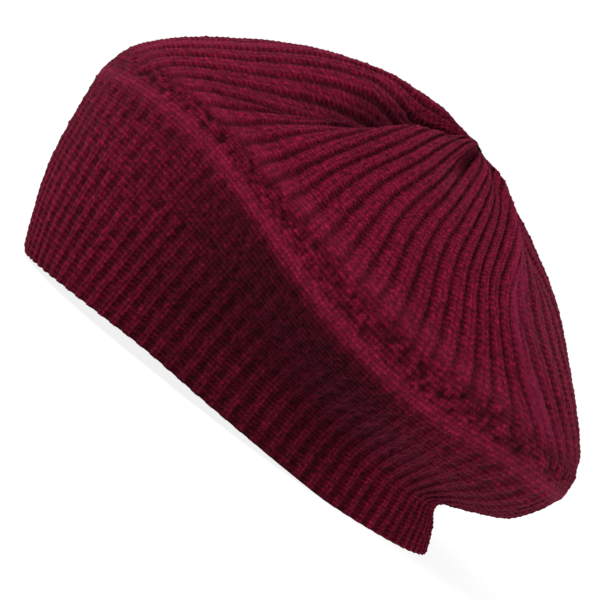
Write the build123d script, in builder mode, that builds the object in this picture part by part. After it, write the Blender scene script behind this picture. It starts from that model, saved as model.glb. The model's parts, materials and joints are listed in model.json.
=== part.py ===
"""Slouch beret in 2x2 rib knit.

Row frame: the brim plane is z = 0 and the origin is the middle of the head opening.
+Z is up through the crown, -Y is the forehead and +X is the wearer's left. All in mm.

The knitted shell is one closed cloth on the head. It is divided here where its knitting
changes: welt, band, underbrim, rolled shoulder, the four sides of the crown between its
darts, and the gathered last row.
"""

import math
import os

from build123d import *

os.makedirs("parts", exist_ok=True)

# Driving dimensions of the knitted shell
WALL = 3.0  # cloth thickness of the relaxed rib
HEAD_LENGTH = 192.0  # head opening, front to back, outside
HEAD_WIDTH = 158.0  # head opening, side to side, outside
WELT_HEIGHT = 6.0  # tubular cast-on edge
CROWN_SIDES = ("left", "back", "right", "front")
DART_ANGLES = (35.0, 145.0, 215.0, 325.0)  # turned from the forehead towards the left ear
GATHER_Y = 18.0  # the gather sits behind the middle of the head
GATHER_RADIUS = 5.0
REACH = 300.0  # larger than the beret, for cutting solids

# Rings of the outer surface, from the brim up to the gather. Each is an ellipse in a tilted
# plane: where it passes the forehead, where it passes the nape, and its half width.
# front y, front z, back y, back z, half width
RINGS = [
    (-HEAD_LENGTH / 2, 0, HEAD_LENGTH / 2, 0, HEAD_WIDTH / 2),
    (-101, 14, 92, 9, 79),
    (-106, 30, 88, 18, 82),
    (-110, 46, 99, 23, 90),
    (-112.5, 60, 114, 31, 101),
    (-113.5, 70, 123, 47, 109),
    (-111, 82, 121, 60, 106),
    (-103, 94, 110, 73, 98),
    (-86, 108, 93, 90, 86),
    (-60, 124, 73, 107, 66),
    (-33, 134, 50, 121, 42),
    (-8, 138, 32, 130, 20),
    (14, 136, 22, 134, 4),
]
BAND_TOP, ROLL_START, ROLL_END = 2, 4, 7  # the rings where the knitting changes

# Seams, threads and labels inside the shell
SEAM_WIDTH = 2.6
SEAM_DEPTH = 1.2
SEAM_START_RADIUS = 10.0  # clear of the draw yarn and its knot
BACK_SEAM_BOTTOM = 1.5
LABEL_THICKNESS = 0.5
LABEL_START, LABEL_END = 8.0, 46.0  # across, to the left of the back seam
LABEL_BOTTOM, LABEL_TOP = 3.5, 13.5
STITCH_DEPTH = 0.4
STITCH_WIDTH = 0.6
STITCH_LENGTH = 1.5
STITCH_COUNT = 3
STITCH_PITCH = 3.0
STITCH_INSET = 1.5
YARN_RADIUS = 0.9
DRAW_LOOP_RADIUS = 7.0
DRAW_LOOP_DROP = 0.6
KNOT_RADIUS = 1.9
YARN_END_LENGTH = 5.0
YARN_END_LEAN = 35.0

# Care tab: a folded satin ribbon, caught by its two ends in the back seam
TAB_HEIGHT = 10.0
TAB_LENGTH = 26.0
TAB_RIBBON = 0.35
TAB_SEWN = 1.5
TAB_GAP = 0.5
TAB_HALF = TAB_GAP / 2 + TAB_RIBBON
TAB_REST_ANGLE = 25.0  # away from the cloth, towards the right ear
TAB_CLEARANCE = 2.0
TAB_MIDDLE_Z = 8.5


def sloped(start, end):
    """Unit direction from one profile point to another, in the plane of y and z."""
    run, rise = end[0] - start[0], end[1] - start[1]
    length = math.hypot(run, rise)
    return run / length, rise / length


def inset_profile(points, inset, inward):
    """Moves every profile point square to the profile; inward is +1 or -1 along y."""
    moved = []
    for i, point in enumerate(points):
        run, rise = sloped(points[max(i - 1, 0)], points[min(i + 1, len(points) - 1)])
        moved.append((point[0] + inward * inset * rise, point[1] - inward * inset * run))
    return moved


def inset_rings(inset):
    """The rings of a surface that lies inset from the outer one."""
    fronts = inset_profile([(r[0], r[1]) for r in RINGS], inset, 1)
    backs = inset_profile([(r[2], r[3]) for r in RINGS], inset, -1)
    sides = inset_profile([(r[4], (r[1] + r[3]) / 2) for r in RINGS], inset, -1)
    return [(*front, *back, side[0]) for front, back, side in zip(fronts, backs, sides)]


def ring_plane(ring):
    """The tilted plane of a ring: x runs from front to back, z points up."""
    run, rise = sloped(ring[0:2], ring[2:4])
    middle = (0, (ring[0] + ring[2]) / 2, (ring[1] + ring[3]) / 2)
    return Plane(origin=middle, x_dir=(0, run, rise), z_dir=(0, -rise, run))


def dome(inset):
    """The solid inside a surface that lies inset from the outer one."""
    rings = inset_rings(inset)
    if inset > 0:
        foot, above = rings[0], rings[1]
        below = [2 * low - high for low, high in zip(foot, above)]
        rings = [tuple(below)] + rings
    with BuildPart() as solid:
        for ring in rings:
            length = math.hypot(ring[2] - ring[0], ring[3] - ring[1])
            with BuildSketch(ring_plane(ring)):
                Ellipse(length / 2, ring[4])
        loft()
    return solid.part


def layer(outer, inner):
    """The cloth between two depths below the outer surface, down to the brim plane."""
    with BuildPart() as cloth:
        add(dome(outer))
        add(dome(inner), mode=Mode.SUBTRACT)
        split(bisect_by=Plane.XY, keep=Keep.TOP)
    return cloth.part


def dart_plane(angle):
    """The upright plane through the gather and a dart, facing onward round the crown."""
    turn = math.radians(angle)
    return Plane(origin=(0, GATHER_Y, 0), z_dir=(math.cos(turn), math.sin(turn), 0))


def back_point(inset, height):
    """Where a surface inset from the outer one crosses the middle of the nape."""
    backs = [ring[2:4] for ring in inset_rings(inset)]
    low, high = next(pair for pair in zip(backs, backs[1:]) if pair[0][1] <= height <= pair[1][1])
    share = (height - low[1]) / (high[1] - low[1])
    return low[0] + share * (high[0] - low[0]), height


band_top = ring_plane(RINGS[BAND_TOP])
roll_start = ring_plane(RINGS[ROLL_START])
roll_end = ring_plane(RINGS[ROLL_END])
gather_foot = Plane((0, GATHER_Y, 0))
stitch_depth_on_seam = WALL + SEAM_DEPTH + STITCH_DEPTH
stitch_depth_on_label = WALL + LABEL_THICKNESS + STITCH_DEPTH

shell = layer(0, WALL)
seam_layer = layer(WALL, WALL + SEAM_DEPTH)
label_layer = layer(WALL, WALL + LABEL_THICKNESS)
seam_stitch_layer = layer(WALL + SEAM_DEPTH, stitch_depth_on_seam)
label_stitch_layer = layer(WALL + LABEL_THICKNESS, stitch_depth_on_label)

# ---------------------------------------------------------------- knitted shell
with BuildPart() as brim_welt:
    add(shell)
    split(bisect_by=Plane.XY.offset(WELT_HEIGHT), keep=Keep.BOTTOM)

with BuildPart() as rib_band:
    add(shell)
    split(bisect_by=Plane.XY.offset(WELT_HEIGHT), keep=Keep.TOP)
    split(bisect_by=band_top, keep=Keep.BOTTOM)

with BuildPart() as underbrim_panel:
    add(shell)
    split(bisect_by=band_top, keep=Keep.TOP)
    split(bisect_by=roll_start, keep=Keep.BOTTOM)

with BuildPart() as rolled_shoulder:
    add(shell)
    split(bisect_by=roll_start, keep=Keep.TOP)
    split(bisect_by=roll_end, keep=Keep.BOTTOM)

with BuildPart() as crown_gather:
    add(shell)
    split(bisect_by=roll_end, keep=Keep.TOP)
    with BuildSketch(gather_foot):
        Circle(GATHER_RADIUS)
    extrude(amount=REACH, mode=Mode.INTERSECT)

with BuildPart() as crown:
    add(shell)
    split(bisect_by=roll_end, keep=Keep.TOP)
    with BuildSketch(gather_foot):
        Circle(GATHER_RADIUS)
    extrude(amount=REACH, mode=Mode.SUBTRACT)

crown_sides = {}
for number, side in enumerate(CROWN_SIDES):
    with BuildPart() as crown_side:
        add(crown.part)
        split(bisect_by=dart_plane(DART_ANGLES[number]), keep=Keep.TOP)
        split(bisect_by=dart_plane(DART_ANGLES[number - 3]), keep=Keep.BOTTOM)
    crown_sides[f"crown_{side}"] = crown_side.part

# ---------------------------------------------------------------- seams and draw yarn
dart_seams = {}
for number, angle in enumerate(DART_ANGLES):
    with BuildPart() as dart_seam:
        with BuildSketch(gather_foot.rotated((0, 0, angle))):
            Rectangle(SEAM_WIDTH, REACH, align=(Align.CENTER, Align.MAX))
            Circle(SEAM_START_RADIUS, mode=Mode.SUBTRACT)
        extrude(amount=REACH)
        add(seam_layer, mode=Mode.INTERSECT)
        split(bisect_by=roll_end, keep=Keep.TOP)
    dart_seams[f"dart_seam_{number + 1}"] = dart_seam.part

with BuildPart() as back_seam:
    with BuildSketch(Plane.XY.offset(BACK_SEAM_BOTTOM)):
        Rectangle(SEAM_WIDTH, REACH, align=(Align.CENTER, Align.MIN))
    extrude(amount=REACH)
    add(seam_layer, mode=Mode.INTERSECT)
    split(bisect_by=roll_end, keep=Keep.BOTTOM)

draw_plane = ring_plane(RINGS[-1]).offset(-WALL - DRAW_LOOP_DROP)

with BuildPart(draw_plane) as crown_draw_yarn:
    Torus(DRAW_LOOP_RADIUS, YARN_RADIUS)

with BuildPart(draw_plane.offset(-KNOT_RADIUS)) as draw_yarn_knot:
    with Locations((-DRAW_LOOP_RADIUS, 0)):
        Sphere(KNOT_RADIUS)
    for lean in (-YARN_END_LEAN, YARN_END_LEAN):
        with Locations(Location((-DRAW_LOOP_RADIUS, 0, 0), (lean, 0, 0))):
            Cylinder(YARN_RADIUS, YARN_END_LENGTH, align=(Align.CENTER, Align.CENTER, Align.MAX))

# ---------------------------------------------------------------- labels and their stitches
label_middle = ((LABEL_START + LABEL_END) / 2, 0, (LABEL_BOTTOM + LABEL_TOP) / 2)
label_width = LABEL_END - LABEL_START

with BuildPart() as woven_label:
    with BuildSketch(Plane(origin=label_middle, x_dir=(1, 0, 0), z_dir=(0, 1, 0))):
        Rectangle(label_width, LABEL_TOP - LABEL_BOTTOM)
    extrude(amount=REACH)
    add(label_layer, mode=Mode.INTERSECT)

with BuildPart() as label_stitches:
    with BuildSketch(Plane(origin=label_middle, x_dir=(1, 0, 0), z_dir=(0, 1, 0))):
        with GridLocations(label_width - 2 * STITCH_INSET, STITCH_PITCH, 2, STITCH_COUNT):
            Rectangle(STITCH_LENGTH, STITCH_WIDTH)
    extrude(amount=REACH)
    add(label_stitch_layer, mode=Mode.INTERSECT)

with BuildPart() as tab_stitches:
    with BuildSketch(Plane(origin=(0, 0, TAB_MIDDLE_Z), x_dir=(1, 0, 0), z_dir=(0, 1, 0))):
        with GridLocations(0, STITCH_PITCH, 1, STITCH_COUNT):
            Rectangle(STITCH_LENGTH, STITCH_WIDTH)
    extrude(amount=REACH)
    add(seam_stitch_layer, mode=Mode.INTERSECT)

# The tab turns about the line where its two ends are caught, just off the seam's stitches.
tab_inset = stitch_depth_on_seam + TAB_CLEARANCE + TAB_HALF
tab_low = back_point(tab_inset, TAB_MIDDLE_Z - TAB_HEIGHT / 2)
tab_high = back_point(tab_inset, TAB_MIDDLE_Z + TAB_HEIGHT / 2)
tab_run, tab_rise = sloped(tab_low, tab_high)
tab_hinge = Plane(
    origin=(0, (tab_low[0] + tab_high[0]) / 2, TAB_MIDDLE_Z),
    x_dir=(1, 0, 0),
    z_dir=(0, tab_run, tab_rise),
)
fold_centre = (TAB_LENGTH - TAB_HALF, 0)

tab_turn = math.radians(180 + TAB_REST_ANGLE)
tab_length_dir = tab_hinge.x_dir * math.cos(tab_turn) + tab_hinge.y_dir * math.sin(tab_turn)

with BuildPart() as care_tab:
    with BuildSketch(Plane(tab_hinge.origin, tab_length_dir, tab_hinge.z_dir)):
        Rectangle(fold_centre[0], 2 * TAB_HALF, align=(Align.MIN, Align.CENTER))
        Circle(TAB_HALF)
        with Locations(fold_centre):
            Circle(TAB_HALF)
            Circle(TAB_GAP / 2, mode=Mode.SUBTRACT)
            Rectangle(
                fold_centre[0] - TAB_SEWN,
                TAB_GAP,
                align=(Align.MAX, Align.CENTER),
                mode=Mode.SUBTRACT,
            )
    extrude(amount=TAB_HEIGHT / 2, both=True)

# ---------------------------------------------------------------- files
pieces = {
    "brim_welt": brim_welt.part,
    "rib_band": rib_band.part,
    "underbrim_panel": underbrim_panel.part,
    "rolled_shoulder": rolled_shoulder.part,
    **crown_sides,
    "crown_gather": crown_gather.part,
    **dart_seams,
    "back_seam": back_seam.part,
    "crown_draw_yarn": crown_draw_yarn.part,
    "draw_yarn_knot": draw_yarn_knot.part,
    "woven_label": woven_label.part,
    "label_stitches": label_stitches.part,
    "tab_stitches": tab_stitches.part,
    "care_tab": care_tab.part,
}

for name, part in pieces.items():
    part.label = name
    export_step(part, f"parts/{name}.step")

print("tab hinge", tab_hinge.origin, "axis", tab_hinge.z_dir)
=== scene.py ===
import json
import math

import bpy
import numpy as np
from mathutils import Matrix, Vector


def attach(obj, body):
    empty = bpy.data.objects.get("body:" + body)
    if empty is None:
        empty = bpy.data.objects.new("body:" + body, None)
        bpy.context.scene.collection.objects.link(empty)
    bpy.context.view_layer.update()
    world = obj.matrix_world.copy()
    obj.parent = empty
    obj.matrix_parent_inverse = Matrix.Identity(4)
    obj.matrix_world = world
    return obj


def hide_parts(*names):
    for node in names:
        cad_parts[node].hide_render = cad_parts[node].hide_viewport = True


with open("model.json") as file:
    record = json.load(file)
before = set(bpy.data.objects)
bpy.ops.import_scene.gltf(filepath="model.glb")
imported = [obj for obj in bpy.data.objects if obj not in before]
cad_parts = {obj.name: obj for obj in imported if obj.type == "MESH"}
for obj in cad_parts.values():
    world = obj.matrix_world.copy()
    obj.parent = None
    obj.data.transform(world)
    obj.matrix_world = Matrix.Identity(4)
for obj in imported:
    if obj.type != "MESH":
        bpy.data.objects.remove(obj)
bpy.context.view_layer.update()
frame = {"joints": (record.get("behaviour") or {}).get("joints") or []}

rng = np.random.default_rng(11)
MM = 0.001
FULL_TURN = 2 * math.pi

# ---------------------------------------------------------------- the shape of the cloth
# Rings of the relaxed shell from the brim edge to the gather, as in the CAD model, with one more
# where the draw yarn closes the gather. All in mm.
# front y, front z, back y, back z, half width
RINGS = np.array([
    (-96.8, 0, 96, 0, 79),
    (-101.8, 14, 92, 9, 79),
    (-106.8, 30, 88, 18, 81),
    (-110.6, 46, 99, 23, 88),
    (-112.8, 60, 114, 31, 99.5),
    (-113.5, 70, 123, 47, 109),
    (-111, 82, 121.5, 60, 106),
    (-103, 93.3, 111.8, 73.5, 98),
    (-86, 107.3, 95, 91, 86),
    (-60, 124.2, 74.5, 108, 66),
    (-33, 134.4, 50.3, 121, 42),
    (-8, 138, 31, 129, 20),
    (13, 136, 23, 132.5, 5),
    (17.8, 132.4, 18.2, 132.2, 0.2),
], float)
BAND_TOP, ROLL_START, ROLL_END, GATHER = 2, 4, 7, 12  # rings where the knitting changes
CREST = 5.15  # the ring number of the fold's edge
FASHIONING = 6.0  # the ring where ribs are merged and the crown's ribs begin

# The four sides of the crown, between its darts: where each starts and ends at the brim, in
# degrees from the forehead round by the left ear, and its ribs at the brim and in the crown
SIDES = (("crown_left", 30, 145, 28, 20), ("crown_back", 145, 215, 16, 12),
         ("crown_right", 215, 330, 28, 20), ("crown_front", 330, 390, 16, 12))
RIBS = sum(ribs for _, _, _, ribs, _ in SIDES)
GATHER_Y = 18.0  # mm behind the middle of the head
FRONT_DART, BACK_DART = 31.0, 145.0  # where a dart starts on the fold, in degrees round the gather
FRONT_TURN, BACK_TURN = 12.0, 31.0  # how far they turn towards the ears on their way up

COURSE = 1.9  # mm of cloth per knitted row
WELT_COURSES = 3
CLOTH = 2.6  # mm from the outer to the inner face
OUTER_GUTTER, INNER_GUTTER = 1.15, 0.8  # mm from each face to the floor of its gutters
OUTER_RIDGE, INNER_RIDGE = 1.05, 0.85  # mm from a gutter's floor to the top of a knit pair
MID_HEIGHT = 0.55  # mm from a gutter's floor to cloth with no ribs
INNER_STRENGTH = 0.6  # how strong the inner face's ribs are, beside the outer face's
WELT_ROUNDING = 0.8  # mm by which both faces draw in at the brim's edge
COLUMNS_PER_RIB = 12
ROWS_PER_COURSE = 3
INNER_STEP = 2  # the inner face has every second column, and one row per course
RIB_MERGING = 0.42  # 0 keeps every rib up to the gather, 1 keeps every rib's width
STITCHES_PER_RIB = 4

# How far the fold's edge stands above (+) or below (-) its ring's plane, in mm
CREST_ANGLES = (0, 25, 40, 57, 70, 80, 91, 102, 112, 122, 133, 150, 215, 240, 265, 290, 320, 340)
CREST_LIFTS = (1, 8, 11, 8, 2, -3, -6, -7, -5, -2, 0, 0, 0, -3, -6, 0, 5, 2)
# How far the brim's edge rises from the plane that it rests on, in mm
BRIM_ANGLES = (0, 35, 60, 90, 115, 180, 245, 270, 300, 325)
BRIM_LIFTS = (0, 3.4, 5, 2.5, 0, 0, 0, 2.5, 5, 3.4)

# Puckers of the crown round the gather: the column's angle at the brim, the depth in mm (a crest
# is negative), the width in degrees, and how far from the gather it starts and ends, in mm
PUCKERS = (
    (32, 14, 9, 12, 125),
    (62, 1.5, 6, 14, 60),
    (89, 6, 9, 6, 76),
    (110, -1.5, 9, 16, 80),
    (163, 4.5, 11, 10, 115),
    (205, 5, 14, 10, 80),
    (262, 4, 14, 4, 50),
    (326, 7, 13, 12, 105),
    (352, 2.5, 10, 10, 60),
    (143, -3.2, 7, 14, 125),
    (70, -1.5, 18, 14, 80),
    (8, -2.0, 9, 12, 100),
)
STEEPEST = 0.55  # a deep pucker widens by this much of its depth near the gather
SHARP_CRESTS = ((143, 3.5), (4, 1.6))  # where the cloth rises to a fine crest with a painted sheen highlight, and how wide


def spline(values, at):
    """Catmull-Rom through the rows of values, at fractional row numbers."""
    last = len(values) - 1
    k = np.clip(np.floor(at).astype(int), 0, last - 1)
    f = (at - k)[:, None]
    p1, p2 = values[k], values[k + 1]
    p0 = np.where((k > 0)[:, None], values[np.maximum(k - 1, 0)], 2 * p1 - p2)
    p3 = np.where((k < last - 1)[:, None], values[np.minimum(k + 2, last)], 2 * p2 - p1)
    return 0.5 * (2 * p1 + (p2 - p0) * f + (2 * p0 - 5 * p1 + 4 * p2 - p3) * f**2
                  + (3 * p1 - p0 - 3 * p2 + p3) * f**3)


def even_rows():
    """Ring numbers of rows that lie one grid step of cloth apart, from brim to gather."""
    fine = np.linspace(0, len(RINGS) - 1, 2401)
    ring = spline(RINGS, fine)
    legs = [np.hypot(*np.diff(ring[:, (a, b)], axis=0).T) for a, b in ((0, 1), (2, 3))]
    side = np.column_stack([ring[:, 4], (ring[:, 1] + ring[:, 3]) / 2])
    legs.append(np.hypot(*np.diff(side, axis=0).T))
    length = np.concatenate([[0], np.cumsum(np.mean(legs, axis=0))])
    steps = round(length[-1] / COURSE) * ROWS_PER_COURSE
    rows = np.interp(np.linspace(0, length[-1], steps + 1), length, fine)
    return rows, length[-1]


def smooth(low, high, x):
    """Goes from 0 at low to 1 at high, with no corners."""
    t = np.clip((x - low) / (high - low), 0, 1)
    return t * t * (3 - 2 * t)


def bump(x, middle, width):
    """A rounded hill of height 1."""
    return np.exp(-(((x - middle) / width) ** 2))


def around(degrees, middle):
    """Signed angle from middle, in degrees."""
    return (degrees - middle + 180) % 360 - 180


def by_angle(degrees, angles, values):
    """Looks up values that are given round a full turn, and rounds off their corners."""
    turn = np.arange(360.0)
    window = np.hanning(23)
    corners = np.tile(np.interp(turn, angles, values, period=360), 3)
    rounded = np.convolve(corners, window / window.sum(), "same")[360:720]
    return np.interp(degrees % 360, turn, rounded, period=360)


def spread_columns():
    """Every column's angle at the brim, the number of its side and its place there, -1 to 1."""
    angles, sides, across = [], [], []
    for number, (_, start, end, ribs, _) in enumerate(SIDES):
        share = np.arange(ribs * COLUMNS_PER_RIB) / (ribs * COLUMNS_PER_RIB)
        angles.append(start + (end - start) * share)
        sides.append(np.full(len(share), number))
        across.append(share * 2 - 1)
    return np.concatenate(angles), np.concatenate(sides), np.concatenate(across)


ring_rows, meridian = even_rows()
ROWS = len(ring_rows)
column_angle, side_of, across_side = spread_columns()
COLUMNS = len(column_angle)
course = np.arange(ROWS) / ROWS_PER_COURSE
to_gather = (meridian * (1 - np.arange(ROWS) / (ROWS - 1)))[:, None]  # mm of cloth left
zone = ring_rows[:, None]
ring_at = spline(RINGS, ring_rows)


def band_angles():
    """Angles round each ring that keep the band's ribs upright over the ears, in degrees."""
    middle = (ring_at[:, 0:1] + ring_at[:, 2:3]) / 2
    half = (ring_at[:, 2:3] - ring_at[:, 0:1]) / 2
    upright = middle[0] - half[0] * np.cos(np.radians(column_angle))
    from_front, from_back = (np.abs(around(column_angle, a)) for a in (0, 180))
    front_pull = 0.5 + 0.5 * np.cos(np.minimum(from_front / 50, 1) * math.pi)
    back_pull = 0.5 + 0.5 * np.cos(np.minimum(from_back / 55, 1) * math.pi)
    front_shift, back_shift = ring_at[:, 0:1] - RINGS[0, 0], ring_at[:, 2:3] - RINGS[0, 2]
    y = upright + front_pull * front_shift + back_pull * back_shift
    angle = np.degrees(np.arccos(np.clip((middle - y) / half, -1, 1)))
    far_side = 360 + np.where(column_angle < 360, -angle, angle)
    return np.where(column_angle <= 180, angle, far_side)


def crown_angles():
    """Angles round each ring of ribs that, seen from above, run straight to the gather."""
    front = FRONT_DART + FRONT_TURN * smooth(FASHIONING, FASHIONING + 3.5, ring_rows)
    back = BACK_DART - BACK_TURN * smooth(FASHIONING - 0.5, FASHIONING + 2.5, ring_rows)
    edges = np.stack([front, back, 360 - back, 360 - front, 360 + front])
    share = (across_side + 1) / 2
    heading = edges[side_of].T * (1 - share) + edges[side_of + 1].T * share
    turn = np.linspace(-180, 540, 1441)
    found = np.empty_like(heading)
    for row, (y0, _, y1, _, width) in enumerate(ring_at):
        ahead = GATHER_Y - (y0 + y1) / 2 + (y1 - y0) / 2 * np.cos(np.radians(turn))
        seen = np.degrees(np.unwrap(np.arctan2(width * np.sin(np.radians(turn)), ahead)))
        found[row] = np.interp(heading[row], seen, turn)
    return found


def shell_angles():
    """The band's angles below the fold and the crown's above it; the nape changes lower down."""
    from_front = np.abs(around(column_angle, 0))
    nape = smooth(105, 155, from_front)
    ear = smooth(40, 70, from_front) * (1 - smooth(120, 150, from_front))
    start, end = 4.4 - 2.2 * nape + 0.4 * ear, 6.6 - 1.6 * nape + 3.2 * ear  # ring numbers
    crown = smooth(start, end, zone)
    held = np.minimum(np.arange(ROWS), np.searchsorted(ring_rows, CREST))
    return band_angles()[held] * (1 - crown) + crown_angles() * crown


def base_surface(angles):
    """The cloth's mean outer face: rows by columns by xyz, in mm."""
    c, s = np.cos(np.radians(angles)), np.sin(np.radians(angles))
    y0, z0, y1, z1, width = (ring_at[:, i:i + 1] for i in range(5))
    x = width * s
    y = (y0 + y1) / 2 - c * (y1 - y0) / 2
    z = (z0 + z1) / 2 - c * (z1 - z0) / 2
    z += by_angle(angles, CREST_ANGLES, CREST_LIFTS) * bump(zone, CREST, 1.7)
    z += by_angle(angles, BRIM_ANGLES, BRIM_LIFTS) * (1 - smooth(0, 3, zone))
    return np.dstack([x, y, z])


def normals_of(grid):
    """Outward unit normals of a grid that closes round its columns."""
    across = np.roll(grid, -1, axis=1) - np.roll(grid, 1, axis=1)
    up = np.gradient(grid, axis=0)
    n = np.cross(across, up)
    return n / np.maximum(np.linalg.norm(n, axis=2, keepdims=True), 1e-9)


def pucker_depth():
    """How far the puckers press the cloth in, in mm."""
    depth = np.zeros((ROWS, COLUMNS))
    mm_per_degree = np.radians(np.maximum(ring_at[:, 4:5], 6))
    for angle, deep, width, near, far in PUCKERS:
        run = smooth(near * 0.3, near + 20, to_gather) * (1 - smooth(far * 0.35, far, to_gather))
        least = STEEPEST * abs(deep) * run / mm_per_degree
        wide = np.maximum(width * (0.65 + 0.6 * to_gather / 100), least)
        depth += deep * run * bump(around(column_angle, angle), 0, wide)
    return depth


def rib_phase():
    """Ribs from the middle of the side: whole numbers are the middles of the knit pairs."""
    _, _, _, *ribs = zip(*SIDES)
    brim_ribs, crown_ribs = (np.array(count)[side_of] for count in ribs)
    width = np.clip(ring_at[:, 4:5] / RINGS[ROLL_END, 4], 0.02, 1)
    kept = np.where(zone > ROLL_END, width**RIB_MERGING, 1)
    return np.abs(across_side) / 2 * np.where(zone < FASHIONING, brim_ribs, crown_ribs * kept)


def wobble(cells_round, cells_up, size):
    """Smooth random heights that close round the columns."""
    total = np.zeros((ROWS, COLUMNS))
    up = np.arange(ROWS)[:, None] / ROWS
    for _ in range(9):
        turns = rng.integers(1, cells_round + 1)
        rise = rng.uniform(0, cells_up)
        shift = rng.uniform(0, FULL_TURN)
        total += np.cos(turns * np.radians(column_angle) + FULL_TURN * rise * up + shift)
    return total / 3 * size


def stitch_unevenness():
    """A random height for every stitch, smoothed from one to the next."""
    wales = RIBS * STITCHES_PER_RIB
    heights = rng.normal(size=(ROWS // ROWS_PER_COURSE + 2, wales))
    k = course.astype(int)
    f = (course - k)[:, None]
    rows = heights[k] * (1 - f) + heights[k + 1] * f
    spot = np.arange(COLUMNS) * STITCHES_PER_RIB / COLUMNS_PER_RIB
    k = spot.astype(int)
    f = spot - k
    return rows[:, k % wales] * (1 - f) + rows[:, (k + 1) % wales] * f


def from_knit(ribs):
    """How far the rib phase is from the middle of the nearest knit pair, 0 to 0.5."""
    return np.abs((ribs + 0.5) % 1 - 0.5)


def knit_height(ribs, row, strength, share):
    """Height of the knit above the gutters' floor, in mm; share is a knit pair's half width."""
    p = from_knit(ribs)
    edge = smooth(share + 0.09, share - 0.07, p)
    wale = np.where(p < share, p / share, (p - share) / (0.5 - share))
    arch = 1 - (2 * wale - 1) ** 2
    leg = row - 0.35 * np.abs(wale - 0.5)
    knit = 0.20 * arch + 0.13 * np.cos(FULL_TURN * leg)
    purl = 0.22 * np.cos(FULL_TURN * (row + 0.5)) + 0.10 * arch
    height = 0.72 * edge + np.where(p < share, knit, purl)
    return height * strength + MID_HEIGHT * (1 - strength)


angles = shell_angles()
base = base_surface(angles)
depth = pucker_depth()
base += normals_of(base) * (wobble(5, 5, 0.5) - depth)[..., None]
normal = normals_of(base)

# Where the ribs are weaker: none on the fold, faint under it, and flattened at the gather
phase = rib_phase()
ribs_drawn = phase + wobble(30, 12, 0.008)
plain = smooth(CREST - 0.45, CREST - 0.1, zone) * (1 - smooth(FASHIONING, FASHIONING + 0.35, zone))
faded = (0.2 + 0.8 * smooth(1.5, 4.2, zone)) * (1 - smooth(CREST, FASHIONING, zone))
faded = faded * (0.5 + 0.15 * np.cos(FULL_TURN * (column_angle - 75) / 180))
strength = (1 - 0.9 * plain) * (1 - faded) * (0.25 + 0.75 * smooth(4, 22, to_gather))
rib_share = 0.25 + 0.09 * smooth(FASHIONING - 0.2, FASHIONING + 0.4, zone)

# The fold's edge and the fine crests, both with a painted sheen highlight, and the pits where ribs
# are merged
fold_line = bump(zone, CREST, 0.26)
sharp_line = sum(bump(around(column_angle, angle), 0, width) for angle, width in SHARP_CRESTS)
sharp_line = sharp_line * smooth(25, 60, to_gather) * smooth(ROLL_END - 1, ROLL_END, zone)
pits = bump(zone, FASHIONING - 0.05, 0.13) * smooth(0.28, 0.45, from_knit(phase))
mottled = smooth(CREST + 0.05, CREST + 0.3, zone)
mottled = mottled * (1 - smooth(FASHIONING - 0.2, FASHIONING + 0.1, zone))

uneven = stitch_unevenness()
relief = knit_height(ribs_drawn, course[:, None], strength, rib_share)
relief += uneven * (0.15 + 0.16 * np.maximum(plain, faded) * (1 - fold_line) + 0.12 * mottled)
relief += 0.45 * fold_line - 0.28 * pits + 0.35 * sharp_line
lip = WELT_ROUNDING * (1 - smooth(-1, 4, np.arange(ROWS)))[:, None]
outer = base + normal * (relief - OUTER_GUTTER - lip)[..., None]

# The inner face, whose knit pairs lie behind the outer gutters
inner_grid = (slice(None, None, ROWS_PER_COURSE), slice(None, None, INNER_STEP))
inner_phase = phase[inner_grid] + 0.5
inner_relief = knit_height(inner_phase, course[::ROWS_PER_COURSE, None],
                           INNER_STRENGTH * strength[inner_grid], rib_share[::ROWS_PER_COURSE])
inner_out = INNER_GUTTER - CLOTH - inner_relief + lip[::ROWS_PER_COURSE]
inner = base[inner_grid] + normal[inner_grid] * inner_out[..., None]
for face in (outer, inner):
    face[..., 2] = np.maximum(face[..., 2], 0)  # the brim rests on the floor

outer_normal = normals_of(outer)
inner_normal = -normals_of(inner)

# What the wool's material is told, beside the ribs and courses: painted shade where little light
# gets in, how high a stitch stands (low cloth gets painted shade), and where a painted sheen
# highlight lies on the fold and crests
from_ear = np.abs(np.abs(around(column_angle, 0)) - 82)
underbrim_shade = (1 - smooth(15, 50, from_ear)) * (1 - smooth(CREST - 0.55, CREST - 0.1, zone))
underbrim_shade = underbrim_shade * (0.75 + 0.25 * smooth(0.5, 3.5, zone))
mottled_shade = mottled * np.clip(0.28 - 0.30 * uneven, 0, 0.7)
shade = np.clip(underbrim_shade + mottled_shade + 0.85 * smooth(1, 11, depth), 0, 1)
lift = np.clip(relief / OUTER_RIDGE, 0, 1)
inner_lift = np.clip(inner_relief / INNER_RIDGE, 0, 1)
# Painted sheen highlight: a lighter colour on the fold's edge, the fine crests and a ring above the
# fashioning line
painted_sheen = 0.35 * fold_line + sharp_line + 0.35 * bump(zone, FASHIONING + 0.5, 0.3)
painted_sheen = np.clip(painted_sheen, 0, 1)
courses = np.broadcast_to(course[:, None], (ROWS, COLUMNS))
none_inside = np.zeros_like(inner_lift)


def row_at(ring):
    """The grid row at a ring number, at the start of a course."""
    row = np.interp(ring, ring_rows, np.arange(ROWS))
    return int(round(row / ROWS_PER_COURSE)) * ROWS_PER_COURSE


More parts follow.
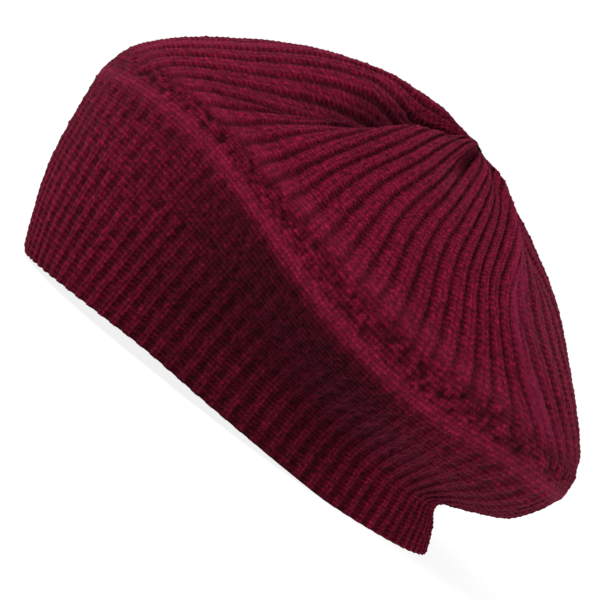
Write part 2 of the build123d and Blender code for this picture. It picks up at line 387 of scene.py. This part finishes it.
def inside(row, column, inset):
    """Points inset mm below the mean outer face, and the outward normals there."""
    row, column = np.broadcast_arrays(np.asarray(row, float), np.asarray(column, float))
    r = np.clip(row.astype(int), 0, ROWS - 2)
    c = np.floor(column).astype(int)
    fr, fc = (row - r)[..., None], (column - c)[..., None]

    def blend(grid):
        low = grid[r, c % COLUMNS] * (1 - fc) + grid[r, (c + 1) % COLUMNS] * fc
        high = grid[r + 1, c % COLUMNS] * (1 - fc) + grid[r + 1, (c + 1) % COLUMNS] * fc
        return low * (1 - fr) + high * fr

    out = blend(normal)
    out = out / np.linalg.norm(out, axis=-1, keepdims=True)
    return blend(base) - out * inset, out


# ---------------------------------------------------------------- meshes
UV_MARGIN = 0.002
OUTER_STRIP, INNER_STRIP = (0.002, 0.702), (0.73, 0.995)  # where each face lies in the UV square
WALL_U, WALL_V = (0, 0.001, 0.0005), (0.710, 0.711, 0.718)  # one small triangle, all along a strip


def quads(rows, columns, closed, flip):
    """Faces of a grid as vertex numbers, with the row and unwrapped column of each corner."""
    across = columns if closed else columns - 1
    i, j = np.meshgrid(np.arange(rows - 1), np.arange(across), indexing="ij")
    i, j = i.ravel(), j.ravel()
    di, dj = np.array([0, 0, 1, 1]), np.array([0, 1, 1, 0])
    if flip:
        di, dj = di[::-1], dj[::-1]
    ii, jj = i[:, None] + di, j[:, None] + dj
    return ii * columns + jj % columns, ii, jj


class Cloth:
    """One closed piece of the shell, between two courses and two columns."""

    def __init__(self, name, row0, row1, column0, column1):
        self.name = name
        self.closed = column1 - column0 == COLUMNS
        columns = np.arange(column0, column1 + (0 if self.closed else 1))
        rows = np.arange(row0, row1 + 1)
        inner_rows = rows[::ROWS_PER_COURSE] // ROWS_PER_COURSE
        inner_columns = columns[::INNER_STEP] // INNER_STEP
        pick = np.ix_(rows, columns % COLUMNS)
        inner_pick = np.ix_(inner_rows, inner_columns % (COLUMNS // INNER_STEP))
        self.shape = (len(rows), len(columns))
        self.inner_shape = (len(inner_rows), len(inner_columns))
        self.split = len(rows) * len(columns)

        def both(outer_grid, inner_grid, *each):
            outer_part, inner_part = outer_grid[pick], inner_grid[inner_pick]
            return np.concatenate([outer_part.reshape(-1, *each), inner_part.reshape(-1, *each)])

        self.points = both(outer, inner, 3) * MM
        self.normals = both(outer_normal, inner_normal, 3)
        self.facts = {
            "rib": both(ribs_drawn, inner_phase),
            "course": both(courses, courses[inner_grid]),
            "lift": both(lift, inner_lift),
            "painted_sheen": both(painted_sheen, none_inside),
            "shade": both(shade, none_inside),
        }
        self.faces, self.uvs = [], []
        self.add_grid(self.shape, 0, False, *OUTER_STRIP)
        self.add_grid(self.inner_shape, self.split, True, *INNER_STRIP)
        self.add_walls()

    def add_grid(self, shape, first, flip, low, high):
        """One face of the cloth; its UVs take the strip from low to high of the square."""
        faces, i, j = quads(*shape, self.closed, flip)
        self.faces.append(faces + first)
        columns = shape[1] if self.closed else shape[1] - 1
        u = UV_MARGIN + (1 - 2 * UV_MARGIN) * j / columns
        v = low + (high - low) * i / (shape[0] - 1)
        self.uvs.append(np.stack([u, v], -1))

    def outer_at(self, i, j):
        return i * self.shape[1] + j % self.shape[1]

    def inner_at(self, i, j):
        return self.split + i * self.inner_shape[1] + j % self.inner_shape[1]

    def wall(self, triangles, along):
        """A cut edge's triangles; along is how far along it they are, 0 to 1."""
        self.faces.append(np.concatenate([np.stack(t, -1) for t in triangles]))
        u = np.concatenate([along] * len(triangles))[:, None] + np.array(WALL_U)
        v = np.broadcast_to(np.array(WALL_V), u.shape)
        self.uvs.append(np.stack([u * 0.99, v], -1))

    def add_walls(self):
        """The cloth's cut edges, from the outer face's points to the inner face's fewer ones."""
        count = self.inner_shape[1] if self.closed else self.inner_shape[1] - 1
        k = np.arange(count)
        last, inner_last = self.shape[0] - 1, self.inner_shape[0] - 1
        for i, inner_i, top in ((0, 0, False), (last, inner_last, True)):
            a, b, c = (self.outer_at(i, INNER_STEP * k + n) for n in range(3))
            p, q = self.inner_at(inner_i, k), self.inner_at(inner_i, k + 1)
            if top:
                self.wall([(a, b, p), (b, c, q), (b, q, p)], k / count)
            else:
                self.wall([(b, a, p), (c, b, q), (b, p, q)], k / count)
        if self.closed:
            return
        k = np.arange(self.inner_shape[0] - 1)
        last, inner_last = self.shape[1] - 1, self.inner_shape[1] - 1
        for j, inner_j, right in ((0, 0, False), (last, inner_last, True)):
            a = [self.outer_at(ROWS_PER_COURSE * k + n, j) for n in range(4)]
            p, q = self.inner_at(k, inner_j), self.inner_at(k + 1, inner_j)
            walls = [(a[0], a[1], p), (a[1], a[2], p), (a[2], q, p), (a[2], a[3], q)]
            if right:
                walls = [(w[1], w[0], w[2]) for w in walls]
            self.wall(walls, k / len(k))

    def build(self, material, slot_name, node_names):
        mesh = bpy.data.meshes.new(self.name)
        mesh.vertices.add(len(self.points))
        mesh.vertices.foreach_set("co", self.points.astype(np.float32).ravel())
        sizes = np.concatenate([np.full(len(f), f.shape[1]) for f in self.faces])
        starts = np.concatenate([[0], np.cumsum(sizes)[:-1]])
        corners = np.concatenate([f.ravel() for f in self.faces])
        mesh.loops.add(len(corners))
        mesh.loops.foreach_set("vertex_index", corners.astype(np.int32))
        mesh.polygons.add(len(sizes))
        mesh.polygons.foreach_set("loop_start", starts.astype(np.int32))
        mesh.polygons.foreach_set("loop_total", sizes.astype(np.int32))
        mesh.polygons.foreach_set("use_smooth", np.ones(len(sizes), bool))
        mesh.update(calc_edges=True)
        layer = mesh.uv_layers.new(name="OFBake")
        uv = np.concatenate([u.reshape(-1, 2) for u in self.uvs])
        layer.data.foreach_set("uv", uv.astype(np.float32).ravel())
        for fact, values in self.facts.items():
            attribute = mesh.attributes.new(fact, "FLOAT", "POINT")
            attribute.data.foreach_set("value", values.astype(np.float32))
        mesh.validate()
        mesh.normals_split_custom_set_from_vertices(self.normals.astype(np.float32))
        return place(mesh, self.name, material, node_names)


def place(mesh, name, material, node_names, body="root"):
    """Makes a mesh a piece that rides on a body and stands for CAD nodes."""
    piece = bpy.data.objects.new(name, mesh)
    bpy.context.scene.collection.objects.link(piece)
    mesh.materials.append(material)
    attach(piece, body)
    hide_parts(*node_names)
    return piece


# ---------------------------------------------------------------- materials
class Nodes:
    """A short way to write a material's nodes."""

    def __init__(self, name):
        self.material = bpy.data.materials.new(name)
        self.material.use_nodes = True
        self.tree = self.material.node_tree
        self.shader = self.tree.nodes["Principled BSDF"]

    def node(self, kind, inputs=None, **settings):
        made = self.tree.nodes.new(kind)
        for key, value in settings.items():
            setattr(made, key, value)
        for key, value in (inputs or {}).items():
            if isinstance(value, bpy.types.NodeSocket):
                self.tree.links.new(value, made.inputs[key])
            else:
                made.inputs[key].default_value = value
        return made

    def math(self, operation, a, b=0.0, c=0.0):
        return self.node("ShaderNodeMath", {0: a, 1: b, 2: c}, operation=operation).outputs[0]

    def fact(self, name):
        return self.node("ShaderNodeAttribute", attribute_name=name).outputs["Fac"]

    def noise(self, vector, scale, detail=3.0, roughness=0.6):
        inputs = {"Vector": vector, "Scale": scale, "Detail": detail, "Roughness": roughness}
        return self.node("ShaderNodeTexNoise", inputs).outputs["Fac"]

    def vector(self, x, y, z=0.0):
        return self.node("ShaderNodeCombineXYZ", {"X": x, "Y": y, "Z": z}).outputs[0]

    def mix(self, factor, a, b, blend_type="MIX"):
        made = self.node("ShaderNodeMix", data_type="RGBA", blend_type=blend_type)
        for key, value in (("Factor", factor), ("A", a), ("B", b)):
            socket = [s for s in made.inputs if s.name == key and s.enabled][0]
            if isinstance(value, bpy.types.NodeSocket):
                self.tree.links.new(value, socket)
            else:
                socket.default_value = value
        return [s for s in made.outputs if s.enabled][0]

    def ramp(self, factor, stops):
        made = self.node("ShaderNodeValToRGB", {"Fac": factor})
        ramp = made.color_ramp
        while len(ramp.elements) < len(stops):
            ramp.elements.new(0.5)
        for element, (position, colour) in zip(ramp.elements, stops):
            element.position, element.color = position, (*colour, 1)
        return made.outputs["Color"]

    def brighten(self, colour, factor, low, high, strength=1.0, between=(0.3, 0.7)):
        """Multiplies a colour by a grey that goes from low to high with the factor."""
        grey = self.ramp(factor, [(between[0], (low,) * 3), (between[1], (high,) * 3)])
        return self.mix(strength, colour, grey, "MULTIPLY")

    def bump(self, height, strength, distance):
        inputs = {"Height": height, "Strength": strength, "Distance": distance}
        self.link(self.node("ShaderNodeBump", inputs).outputs[0], "Normal")

    def link(self, socket, name):
        self.tree.links.new(socket, self.shader.inputs[name])

    def set(self, **values):
        for name, value in values.items():
            self.shader.inputs[name.replace("_", " ")].default_value = value


# The wool's colour on top of a knit pair, darkened towards the gutters' floor as painted shade, and
# the colour of the painted sheen highlight
GUTTER, DEEP = (0.034, 0.0005, 0.0034), (0.058, 0.0011, 0.0068)
RIDGE, RIDGE_TOP = (0.078, 0.0017, 0.0104), (0.100, 0.0026, 0.0142)
SHEEN_HIGHLIGHT = (0.110, 0.0070, 0.0260)


def wool_material():
    """Brushed wool: gutters darkened as painted shade, V stitches, uneven yarn, fine fibres, a
    painted sheen highlight on the fold and crests, and painted shade from the shade fact.
    """
    n = Nodes("rib_knit_wool")
    object_place = n.node("ShaderNodeTexCoord").outputs["Object"]
    row = n.math("MULTIPLY_ADD", n.noise(object_place, 360.0, 2.0), 0.7, n.fact("course"))
    sideways = n.math("MULTIPLY_ADD", n.noise(object_place, 310.0, 2.0), 0.7, -0.35)
    wale = n.math("MULTIPLY_ADD", n.fact("rib"), 4.0, sideways)
    off_wale = n.math("ABSOLUTE", n.math("SUBTRACT", n.math("FRACT", wale), 0.5))
    slant = n.math("SUBTRACT", row, n.math("MULTIPLY", off_wale, 0.35))
    stitch = n.math("COSINE", n.math("MULTIPLY", slant, FULL_TURN))
    strand = n.noise(n.vector(n.math("MULTIPLY", wale, 5.0), n.math("MULTIPLY", slant, 2.0)), 1.3)
    per_stitch = n.noise(n.vector(wale, row), 0.9, 2.0)
    fibre = n.noise(object_place, 1100.0, 4.0, 0.7)
    tufts = n.noise(object_place, 560.0, 3.0, 0.65)
    patches = n.noise(object_place, 55.0)

    # Painted shade: the lower the knit lies, the darker its colour, darkest on the gutters' floor
    colour = n.ramp(n.fact("lift"), [(0.05, GUTTER), (0.38, DEEP), (0.74, RIDGE), (1.0, RIDGE_TOP)])
    colour = n.brighten(colour, per_stitch, 0.50, 1.45)
    colour = n.brighten(colour, strand, 0.70, 1.25)
    colour = n.brighten(colour, stitch, 0.62, 1.12, between=(0.0, 0.7))
    # Painted shade: a fine dark line between neighbouring wales
    colour = n.brighten(colour, off_wale, 1.05, 0.72, between=(0.2, 0.5))
    colour = n.brighten(colour, tufts, 0.72, 1.28, between=(0.36, 0.64))
    colour = n.brighten(colour, patches, 0.86, 1.12)
    # Painted sheen highlight on the fold's edge and crests
    colour = n.mix(n.math("MULTIPLY", n.fact("painted_sheen"), 0.55), colour, (*SHEEN_HIGHLIGHT, 1))
    colour = n.brighten(colour, fibre, 0.60, 1.40)
    colour = n.brighten(colour, n.fact("shade"), 1.0, 0.48, between=(0.0, 1.0))
    n.link(colour, "Base Color")
    height = n.math("MULTIPLY_ADD", stitch, 0.30, n.math("MULTIPLY", fibre, 0.9))
    n.bump(n.math("ADD", height, n.math("MULTIPLY", strand, 0.5)), 0.8, 0.0004)
    n.set(Roughness=0.95, Specular_IOR_Level=0.04)
    n.set(Sheen_Weight=0.10, Sheen_Roughness=0.35, Sheen_Tint=(0.85, 0.10, 0.28, 1))
    return n.material


def yarn_material(name, colour, twist_per_mm, roughness=0.9, sheen=0.1):
    """A spun thread or yarn: its twist runs along the fact called along, in mm."""
    n = Nodes(name)
    object_place = n.node("ShaderNodeTexCoord").outputs["Object"]
    along = n.math("MULTIPLY", n.fact("along"), FULL_TURN * twist_per_mm)
    turn = n.math("MULTIPLY", n.fact("turn"), FULL_TURN)
    twist = n.math("SINE", n.math("ADD", along, turn))
    fibre = n.noise(object_place, 1500.0, 4.0)
    shade = n.brighten((*colour, 1), twist, 0.68, 1.15, between=(0.0, 1.0))
    n.link(n.brighten(shade, fibre, 0.70, 1.30), "Base Color")
    n.bump(n.math("ADD", twist, fibre), 0.7, 0.00015)
    n.set(Roughness=roughness, Specular_IOR_Level=0.15, Sheen_Weight=sheen)
    n.set(Sheen_Tint=(*(c ** 0.3 for c in colour), 1))
    return n.material


def woven_material(name, colour, edge_colour, threads_per_mm, roughness, sheen):
    """A narrow woven cloth: warp and weft in mm from its middle, with a woven edge."""
    n = Nodes(name)
    warp = n.math("SINE", n.math("MULTIPLY", n.fact("warp"), FULL_TURN * threads_per_mm))
    weft = n.math("SINE", n.math("MULTIPLY", n.fact("weft"), FULL_TURN * threads_per_mm * 0.7))
    weave = n.math("MULTIPLY", warp, weft)
    object_place = n.node("ShaderNodeTexCoord").outputs["Object"]
    uneven = n.noise(object_place, 420.0)
    shade = n.mix(n.fact("border"), (*colour, 1), (*edge_colour, 1))
    shade = n.brighten(shade, weave, 0.80, 1.15, between=(0.0, 0.8))
    n.link(n.brighten(shade, uneven, 0.90, 1.08), "Base Color")
    n.bump(n.math("ADD", weave, uneven), 0.5, 0.0001)
    n.set(Roughness=roughness, Specular_IOR_Level=0.3, Sheen_Weight=sheen)
    n.set(Sheen_Tint=(*(c ** 0.5 for c in colour), 1))
    return n.material


wool = wool_material()

# ---------------------------------------------------------------- the knitted pieces
welt_row = WELT_COURSES * ROWS_PER_COURSE
band_row, roll_row, crown_row = row_at(BAND_TOP), row_at(ROLL_START), row_at(ROLL_END)
gather_row = row_at(GATHER - 0.3)
last_row = ROWS - 1 - (ROWS - 1) % ROWS_PER_COURSE
ROUND_PIECES = (("brim_welt", 0, welt_row), ("rib_band", welt_row, band_row),
                ("underbrim_panel", band_row, roll_row), ("rolled_shoulder", roll_row, crown_row),
                ("crown_gather", gather_row, last_row))


def knit_piece(node, row0, row1, column0, column1):
    """Makes the cloth that stands for a CAD node."""
    Cloth("knit_" + node, row0, row1, column0, column1).build(wool, "rib_knit", [node])


for node, row0, row1 in ROUND_PIECES:
    knit_piece(node, row0, row1, 0, COLUMNS)
first = 0
darts = []
for node, _, _, ribs, _ in SIDES:
    darts.append(first)
    past = first + ribs * COLUMNS_PER_RIB
    knit_piece(node, crown_row, gather_row, first, past)
    first = past


# ---------------------------------------------------------------- seams, yarn and labels
def across_path(path, up):
    """Unit vectors beside and above every point of a path, where up is roughly above."""
    along = np.gradient(path, axis=0)
    along /= np.linalg.norm(along, axis=1, keepdims=True)
    side = np.cross(along, np.broadcast_to(up, path.shape))
    side /= np.linalg.norm(side, axis=1, keepdims=True)
    return side, np.cross(side, along)


class Trim:
    """A small piece made of closed tubes and slabs, in mm, with facts for its material."""

    def __init__(self, facts):
        self.points, self.faces, self.facts = [], [], {fact: [] for fact in facts}
        self.count = 0

    def add(self, points, faces, **facts):
        """Adds one closed part, whose faces count its own points from 0."""
        self.points.append(points)
        self.faces += [[i + self.count for i in face] for face in faces]
        self.count += len(points)
        for fact, values in facts.items():
            self.facts[fact].append(values)

    def tube(self, path, up, half_width, half_height, sides=10):
        """A closed tube of elliptic section along a path, its height along up."""
        side, up = across_path(path, up)
        turn = np.arange(sides) / sides
        c, s = np.cos(FULL_TURN * turn)[:, None], np.sin(FULL_TURN * turn)[:, None]
        halves = (half_width, half_height)
        width, height = (np.broadcast_to(half, len(path))[:, None, None] for half in halves)
        rings = path[:, None] + side[:, None] * c * width + up[:, None] * s * height
        points = np.concatenate([rings.reshape(-1, 3), path[:1], path[-1:]])
        last = (len(path) - 1) * sides
        start, end = last + sides, last + sides + 1
        faces = []
        for k in range(sides):
            n = (k + 1) % sides
            faces += [[i + k, i + sides + k, i + sides + n, i + n] for i in range(0, last, sides)]
            faces += [[start, k, n], [end, last + n, last + k]]
        steps = np.linalg.norm(np.diff(path, axis=0), axis=1)
        length = np.concatenate([[0], np.cumsum(steps)])
        self.add(points, faces, along=np.concatenate([np.repeat(length, sides), length[[0, -1]]]),
                 turn=np.concatenate([np.tile(turn, len(path)), [0, 0]]))

    def slab(self, middle, out, thickness, warp, weft, border):
        """A thin closed sheet on both sides of a grid of points."""
        rows, columns = middle.shape[:2]
        half = out * thickness / 2
        points = np.concatenate([(middle + half).reshape(-1, 3), (middle - half).reshape(-1, 3)])
        below = rows * columns
        faces = []
        for i in range(rows - 1):
            for j in range(columns - 1):
                a = i * columns + j
                quad = [a, a + 1, a + columns + 1, a + columns]
                faces += [quad, [below + p for p in reversed(quad)]]
        rim = [*range(0, columns - 1), *range(columns - 1, below - 1, columns),
               *range(below - 1, below - columns, -1), *range(below - columns, 0, -columns)]
        faces += [[a, below + a, below + b, b] for a, b in zip(rim, rim[1:] + rim[:1])]
        self.add(points, faces, warp=np.tile(warp.ravel(), 2), weft=np.tile(weft.ravel(), 2),
                 border=np.tile(border.ravel(), 2))

    def build(self, name, material, slot_name, node_names, body="root"):
        mesh = bpy.data.meshes.new(name)
        mesh.from_pydata((np.concatenate(self.points) * MM).tolist(), [], self.faces)
        for fact, values in self.facts.items():
            attribute = mesh.attributes.new(fact, "FLOAT", "POINT")
            attribute.data.foreach_set("value", np.concatenate(values).astype(np.float32))
        mesh.polygons.foreach_set("use_smooth", np.ones(len(mesh.polygons), bool))
        mesh.set_sharp_from_angle(angle=math.radians(50))
        return place(mesh, name, material, node_names, body)


# The facts that each kind of trim gives its material
THREAD = ("along", "turn")
SHEET = ("warp", "weft", "border")

SEAM_INSET = 3.6  # mm below the cloth's mean outer face, as all insets are
SEAM_TO_GATHER = 30.0  # mm left to the gather where a dart's seam ends
BEAD_OFFSET, BEAD_HALF_WIDTH, BEAD_HALF_HEIGHT = 0.55, 0.72, 0.6
linking = yarn_material("linking_thread", (0.070, 0.0028, 0.0110), 0.9)


def seam(name, column, row0, row1):
    """A linked seam: two beads side by side, with a chain stitch to every course."""
    rows = np.arange(row0, row1 + 0.1, ROWS_PER_COURSE / 5)
    left = np.interp(rows, np.arange(ROWS), to_gather[:, 0])
    slim = 0.5 + 0.5 * smooth(SEAM_TO_GATHER, SEAM_TO_GATHER + 20, left)
    chain = slim * (1 + 0.14 * np.cos(FULL_TURN * rows / ROWS_PER_COURSE))
    trim = Trim(THREAD)
    for off in (-BEAD_OFFSET, BEAD_OFFSET):
        path, out = inside(rows, column, SEAM_INSET)
        across = np.cross(np.gradient(path, axis=0), out)
        path = path + off * across / np.linalg.norm(across, axis=1, keepdims=True)
        trim.tube(path, out, BEAD_HALF_WIDTH * chain, BEAD_HALF_HEIGHT * chain)
    trim.build("linked_" + name, linking, "linking_thread", [name])


seam_end_row = int(np.searchsorted(-to_gather[:, 0], -SEAM_TO_GATHER))
for number, column in enumerate(darts):
    seam(f"dart_seam_{number + 1}", column, crown_row, seam_end_row)
nape_column = int(np.argmin(np.abs(column_angle - 180)))
seam("back_seam", nape_column, 2 * ROWS_PER_COURSE, crown_row - 1)

DRAW_ROW = row_at(GATHER) + 1
YARN_INSET, YARN_RADIUS, PLIES = 3.6, 0.9, 3
draw_yarn = yarn_material("draw_yarn", (0.085, 0.0032, 0.0135), 0.5, sheen=0.2)


def plied(trim, path, up, radius, turns):
    """Plies that wind round each other along a path."""
    side, up = across_path(path, up)
    for ply in range(PLIES):
        angle = FULL_TURN * (np.linspace(0, turns, len(path)) + ply / PLIES)[:, None]
        wound = path + 0.5 * radius * (side * np.cos(angle) + up * np.sin(angle))
        trim.tube(wound, up, 0.55 * radius, 0.55 * radius, sides=8)


def draw_loop():
    """The yarn through the last stitches, from the knot round to the knot again."""
    forehead = COLUMNS_PER_RIB * (RIBS - SIDES[-1][3] / 2)
    columns = np.linspace(0, COLUMNS, 140) + forehead
    path, out = inside(DRAW_ROW, columns, YARN_INSET)
    trim = Trim(THREAD)
    plied(trim, path, out, YARN_RADIUS, 14)
    trim.build("gathering_yarn", draw_yarn, "draw_yarn", ["crown_draw_yarn"])
    return path[0], out[0]


def draw_knot(at, out):
    """An overhand knot with two short ends that hang into the crown."""
    t = np.linspace(0, FULL_TURN, 60)[:, None]
    x, y = np.array([1.0, 0, 0]), np.cross(out, [1.0, 0, 0])
    centre = at - out * 2.0
    shape = (x * (np.sin(t) + 2 * np.sin(2 * t)) + y * (np.cos(t) - 2 * np.cos(2 * t))
             - out * np.sin(3 * t))
    trim = Trim(THREAD)
    trim.tube(centre + 0.52 * shape, out, 0.62, 0.62, sides=8)
    for lean in (-0.55, 0.7):
        s = np.linspace(0, 1, 24)[:, None]
        end = centre + x * lean * 6.5 * s**1.3 - out * (1.0 + 5.0 * s) + y * 0.8 * np.sin(3 * s)
        plied(trim, end, x + 0.3 * y, 0.75, 1.6)
    trim.build("tied_knot", draw_yarn, "draw_yarn", ["draw_yarn_knot"])


draw_knot(*draw_loop())

LABEL_INSET, LABEL_THICKNESS = 3.35, 0.5
LABEL_X, LABEL_Z = (8.0, 46.0), (3.5, 13.5)
TACK_Z = (5.5, 8.5, 11.5)
LABEL_TACK_X, LABEL_TACK_INSET = (9.5, 44.5), LABEL_INSET + 0.4
TAB_TACK_X, TAB_TACK_INSET = (0.0,), 4.35
TACK_HALF_LENGTH, TACK_RADIUS, TACK_DIVE = 0.75, 0.26, 1.1
# The columns near the back seam, from beyond the label's far end to beyond the tab's tacks
back_columns = np.arange(nape_column - 13 * COLUMNS_PER_RIB, nape_column + COLUMNS_PER_RIB)


LABEL_ROW = 12.0  # the grid row on which x is looked up


def spot_inside(x, z, inset):
    """The point of the cloth's inner side at the nape that has this x and z."""
    rows = np.arange(0, band_row, 0.5)
    line, _ = inside(rows, nape_column, inset)
    row = np.interp(z, line[:, 2], rows)
    line, _ = inside(LABEL_ROW, back_columns, inset)
    column = np.interp(x, line[::-1, 0], back_columns[::-1].astype(float))
    return inside(row, column, inset)


def label():
    """A blank damask label, sewn flat to the band beside the back seam."""
    x, z = np.meshgrid(np.linspace(*LABEL_X, 77), np.linspace(*LABEL_Z, 21), indexing="ij")
    middle, out = spot_inside(x, z, LABEL_INSET)
    edge = np.min([x - LABEL_X[0], LABEL_X[1] - x, z - LABEL_Z[0], LABEL_Z[1] - z], axis=0)
    trim = Trim(SHEET)
    trim.slab(middle, -out, LABEL_THICKNESS, x, z, 1 - smooth(0.7, 0.9, edge))
    cloth = woven_material("damask_label", (0.016, 0.010, 0.012), (0.060, 0.020, 0.028),
                           threads_per_mm=2.4, roughness=0.55, sheen=0.2)
    piece = trim.build("damask_label", cloth, "woven_label", ["woven_label"])


def stitches(name, node, xs, inset):
    """Short bar tacks, whose ends dive into the cloth."""
    trim = Trim(THREAD)
    for x in xs:
        for z in TACK_Z:
            t = np.linspace(-1, 1, 13)
            path, out = spot_inside(x + TACK_HALF_LENGTH * t, np.full(13, z), inset)
            path = path + out * (TACK_DIVE * np.abs(t) ** 4)[:, None]
            trim.tube(path, out, TACK_RADIUS, TACK_RADIUS, sides=8)
    trim.build(name, sewing_thread, "stitch_thread", [node])


sewing_thread = yarn_material("sewing_thread", (0.26, 0.145, 0.16), 1.6, 0.5, 0.0)
label()
stitches("label_bar_tacks", "label_stitches", LABEL_TACK_X, LABEL_TACK_INSET)
stitches("tab_bar_tacks", "tab_stitches", TAB_TACK_X, TAB_TACK_INSET)

# The care tab, which is laid out from its joint: two plies, TAB_OFFSET either side of its middle
TAB_LENGTH, TAB_HEIGHT, TAB_PLY, TAB_OFFSET = 26.0, 10.0, 0.35, 0.425
TAB_SEWN = 1.5  # mm in the seam
TAB_LEAN = math.radians(25)  # away from the cloth at rest


def tab():
    """A satin ribbon folded in two, caught at its ends on the joint's line."""
    joint = frame["joints"][0]
    hinge, axis = np.array(joint["pos_m"]) / MM, np.array(joint["axis"])
    inward = np.cross((1, 0, 0), axis)
    length_way = math.sin(TAB_LEAN) * inward - math.cos(TAB_LEAN) * np.array([1.0, 0, 0])
    side_way = np.cross(axis, length_way)

    straight = TAB_LENGTH - TAB_OFFSET - TAB_PLY / 2
    out_run = np.linspace(0, straight, 40)
    turn = np.linspace(-math.pi / 2, math.pi / 2, 11)[1:-1]
    reach = np.concatenate([out_run, straight + TAB_OFFSET * np.cos(turn), out_run[::-1]])
    plies = np.full(len(out_run), TAB_OFFSET)
    offset = np.concatenate([-plies, TAB_OFFSET * np.sin(turn), plies])
    offset *= 0.45 + 0.55 * smooth(0, TAB_SEWN * 1.6, reach)
    across = np.linspace(-TAB_HEIGHT / 2, TAB_HEIGHT / 2, 17)
    r, a = np.meshgrid(reach, across, indexing="ij")
    wave = 0.10 * np.sin(r / 5.0) * (a / 5.0) * smooth(2, 12, r)
    o = offset[:, None] + wave
    middle = hinge + r[..., None] * length_way + a[..., None] * axis + o[..., None] * side_way
    facing = np.cross(np.gradient(middle, axis=0), np.gradient(middle, axis=1))
    facing /= np.linalg.norm(facing, axis=2, keepdims=True)
    trim = Trim(SHEET)
    border = smooth(TAB_HEIGHT / 2 - 0.7, TAB_HEIGHT / 2 - 0.4, np.abs(a))
    trim.slab(middle, facing, TAB_PLY, r, a, border)
    satin = woven_material("satin_ribbon", (0.74, 0.70, 0.63), (0.66, 0.62, 0.55),
                           threads_per_mm=3.0, roughness=0.38, sheen=0.15)
    piece = trim.build("folded_ribbon", satin, "satin_ribbon", ["care_tab"], body="care_tab")


tab()


# ---------------------------------------------------------------- floor, light and camera
FLOOR_GREY, FLOOR_GLOW, FLOOR_HALF_SIDE = 0.15, 0.87, 8.0


def make_floor():
    """A pale light table: it stays white, and shades only lightly where the beret rests."""
    n = Nodes("pale_floor")
    n.set(Base_Color=(FLOOR_GREY,) * 3 + (1,), Roughness=0.9, Specular_IOR_Level=0.0)
    n.set(Emission_Color=(1, 1, 1, 1), Emission_Strength=FLOOR_GLOW)
    side = FLOOR_HALF_SIDE
    mesh = bpy.data.meshes.new("floor")
    corners = [(-side, -side, 0), (side, -side, 0), (side, side, 0), (-side, side, 0)]
    mesh.from_pydata(corners, [], [(0, 1, 2, 3)])
    mesh.materials.append(n.material)
    floor = bpy.data.objects.new("floor", mesh)
    bpy.context.scene.collection.objects.link(floor)


def area_light(name, place_at, aim, size, power):
    """A square soft light, in metres and watts."""
    data = bpy.data.lights.new(name, "AREA")
    data.energy, data.size = power, size
    light = bpy.data.objects.new(name, data)
    bpy.context.scene.collection.objects.link(light)
    light.location = place_at
    light.rotation_euler = (Vector(aim) - Vector(place_at)).to_track_quat("-Z", "Y").to_euler()


def make_world():
    """An even white studio."""
    world = bpy.data.worlds.new("studio")
    bpy.context.scene.world = world
    world.use_nodes = True
    background = world.node_tree.nodes["Background"]
    background.inputs["Color"].default_value = (1, 1, 1, 1)
    background.inputs["Strength"].default_value = 1.0


VIEW_AZIMUTH, VIEW_ELEVATION, VIEW_ROLL = math.radians(80), math.radians(4), math.radians(37.4)
VIEW_DISTANCE, VIEW_WIDTH = 1.4, 0.2262
VIEW_MIDDLE = Vector((0, -0.0013, 0.0479))


def make_camera():
    """A long lens, rolled so that the level beret is seen tilted."""
    data = bpy.data.cameras.new("camera")
    camera = bpy.data.objects.new("camera", data)
    bpy.context.scene.collection.objects.link(camera)
    a, e = VIEW_AZIMUTH, VIEW_ELEVATION
    back = Vector((math.sin(a) * math.cos(e), -math.cos(a) * math.cos(e), math.sin(e)))
    camera.location = VIEW_MIDDLE + back * VIEW_DISTANCE
    turn = back.to_track_quat("Z", "Y")
    camera.rotation_euler = (turn.to_matrix() @ Matrix.Rotation(VIEW_ROLL, 3, "Z")).to_euler()
    data.sensor_width = 36.0
    data.lens = data.sensor_width * VIEW_DISTANCE / VIEW_WIDTH
    data.clip_end = 50
    bpy.context.scene.camera = camera


bpy.context.scene.view_settings.view_transform = "Standard"
make_floor()
make_world()
area_light("key", (0.95, -1.6, 1.1), (0, 0, 0.06), 0.9, 66)
area_light("low_fill", (0.9, 1.1, 0.12), (0, 0.08, 0.03), 0.5, 19)
make_camera()
